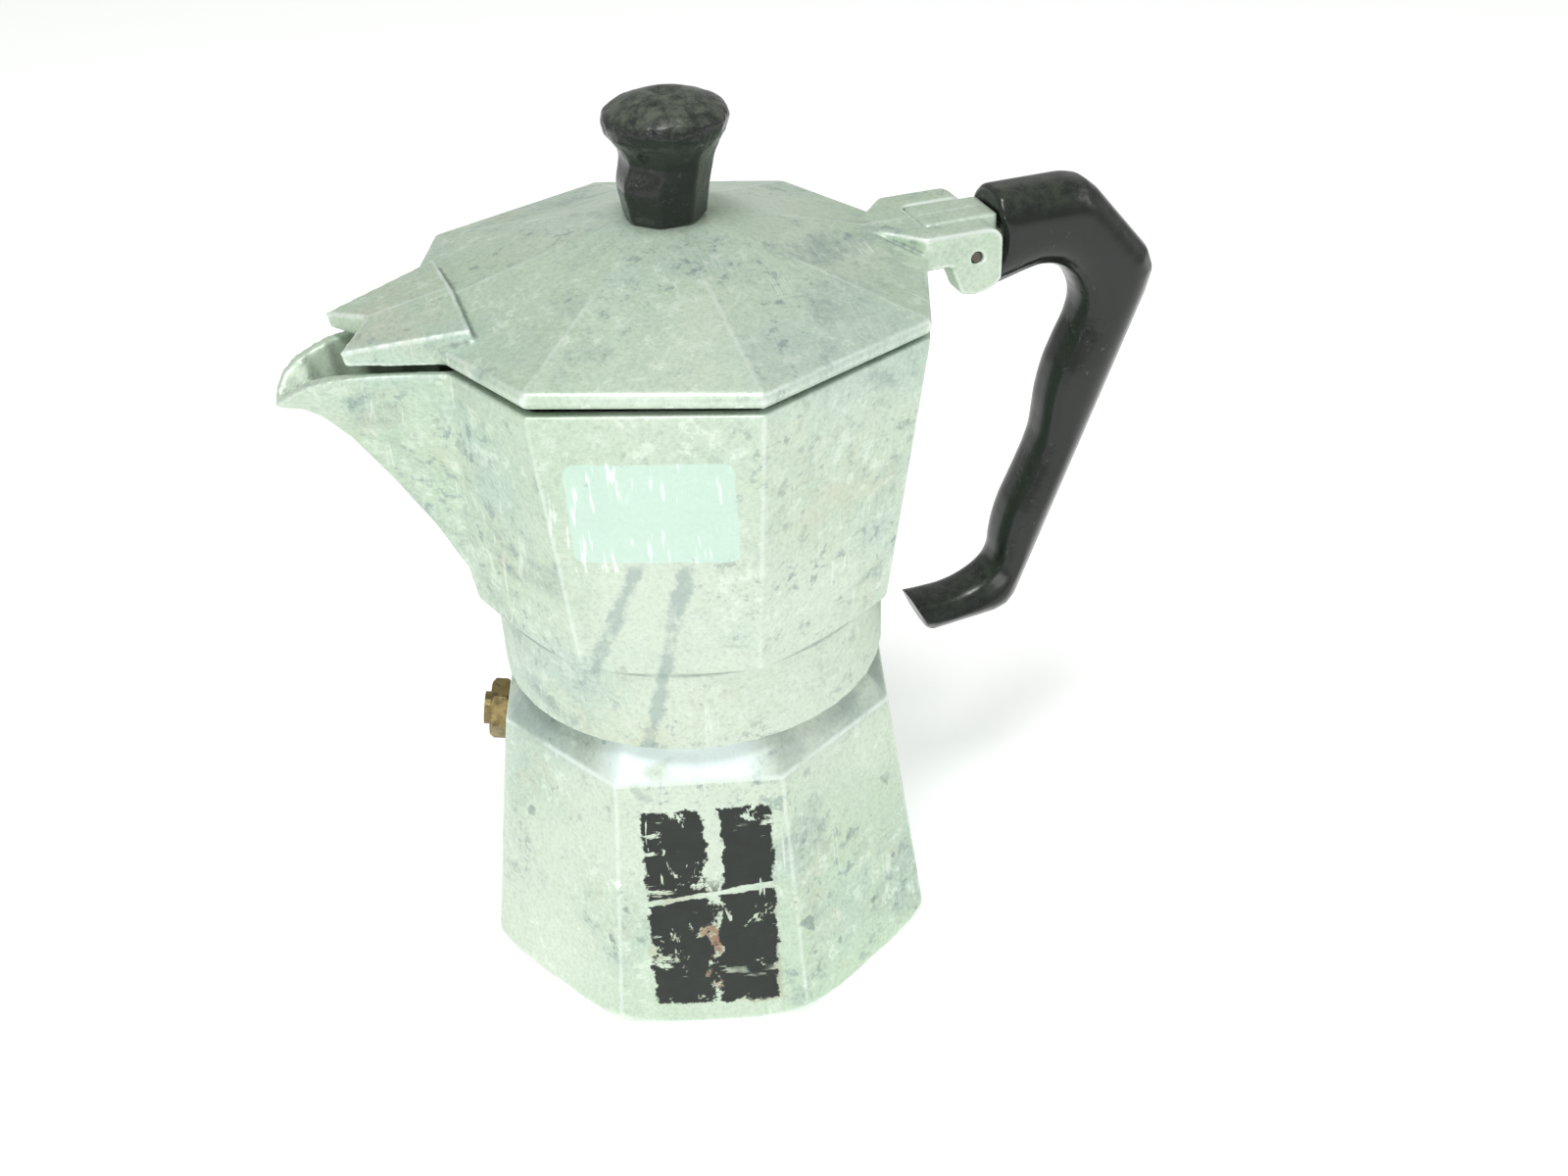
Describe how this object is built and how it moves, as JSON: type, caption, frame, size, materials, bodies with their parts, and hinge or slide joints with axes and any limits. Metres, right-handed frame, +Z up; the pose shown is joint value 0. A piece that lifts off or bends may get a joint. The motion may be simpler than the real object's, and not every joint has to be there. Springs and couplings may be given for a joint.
{
  "type": "moka pot",
  "caption": "Octagonal stove-top moka pot with a flared collector, beaked spout, hinged pyramid lid with a knob, and a wave-edged angular handle.",
  "frame": {"origin": "centre of the boiler's flat base, on the pot's axis", "axes": "+Z up along the pot's axis, +X from the axis towards the handle, the spout points to -X"},
  "size_m": [0.1535, 0.0908, 0.1597],
  "materials": {
    "cast_aluminium": "matte, oxidised, stained",
    "sheet_aluminium": "satin",
    "steel_parts": "worn",
    "valve_brass": "tarnished",
    "bakelite": "semi-gloss, worn",
    "gasket_rubber": "matte"
  },
  "bodies": {
    "base": {"boiler": "cast_aluminium", "valve_body": "valve_brass", "valve_retainer": "valve_brass", "valve_spring": "steel_parts"},
    "plunger": {"valve_plunger": "steel_parts"},
    "funnel_cup": {"funnel": "sheet_aluminium", "funnel_plate": "sheet_aluminium"},
    "gasket_carrier": {"gasket": "gasket_rubber"},
    "filter_carrier": {"filter_plate": "sheet_aluminium"},
    "upper": {"collector": "cast_aluminium", "riser_column": "cast_aluminium", "hinge_pin": "steel_parts", "handle": "bakelite", "handle_screw": "steel_parts"},
    "lid": {"lid": "cast_aluminium", "lid_knob": "bakelite", "knob_screw": "steel_parts", "knob_washer": "steel_parts"}
  },
  "joints": [
    {"name": "valve_slide", "type": "slide", "parent": "base", "child": "plunger", "axis": [-0.9453, 0.2962, 0.1363], "range_m": [0, 0.0012], "stiffness_N_per_m": 800, "springref_m": -0.003, "deforming": ["valve_spring"]},
    {"name": "upper_lift", "type": "slide", "parent": "base", "child": "gasket_carrier", "axis": [0, 0, 1], "range_m": [0, 0.12]},
    {"name": "thread_rise", "type": "slide", "parent": "gasket_carrier", "child": "filter_carrier", "axis": [0, 0, 1], "range_m": [0, 0.0062]},
    {"name": "thread_turn", "type": "hinge", "parent": "filter_carrier", "child": "upper", "pos_m": [0, 0, 0.06], "axis": [0, 0, 1], "range_deg": [0, 720]},
    {"name": "lid_hinge", "type": "hinge", "parent": "upper", "child": "lid", "pos_m": [0.0504, 0, 0.1272], "axis": [0, 1, 0], "range_deg": [0, 88]},
    {"name": "funnel_lift", "type": "slide", "parent": "base", "child": "funnel_cup", "axis": [0, 0, 1], "range_m": [0, 0.0661]}
  ],
  "couplings": [
    {"joint": "thread_rise", "follows": "thread_turn", "m_per_rad": 0.00047746},
    {"joint": "funnel_lift", "follows": "upper_lift", "ratio": 0.55}
  ]
}
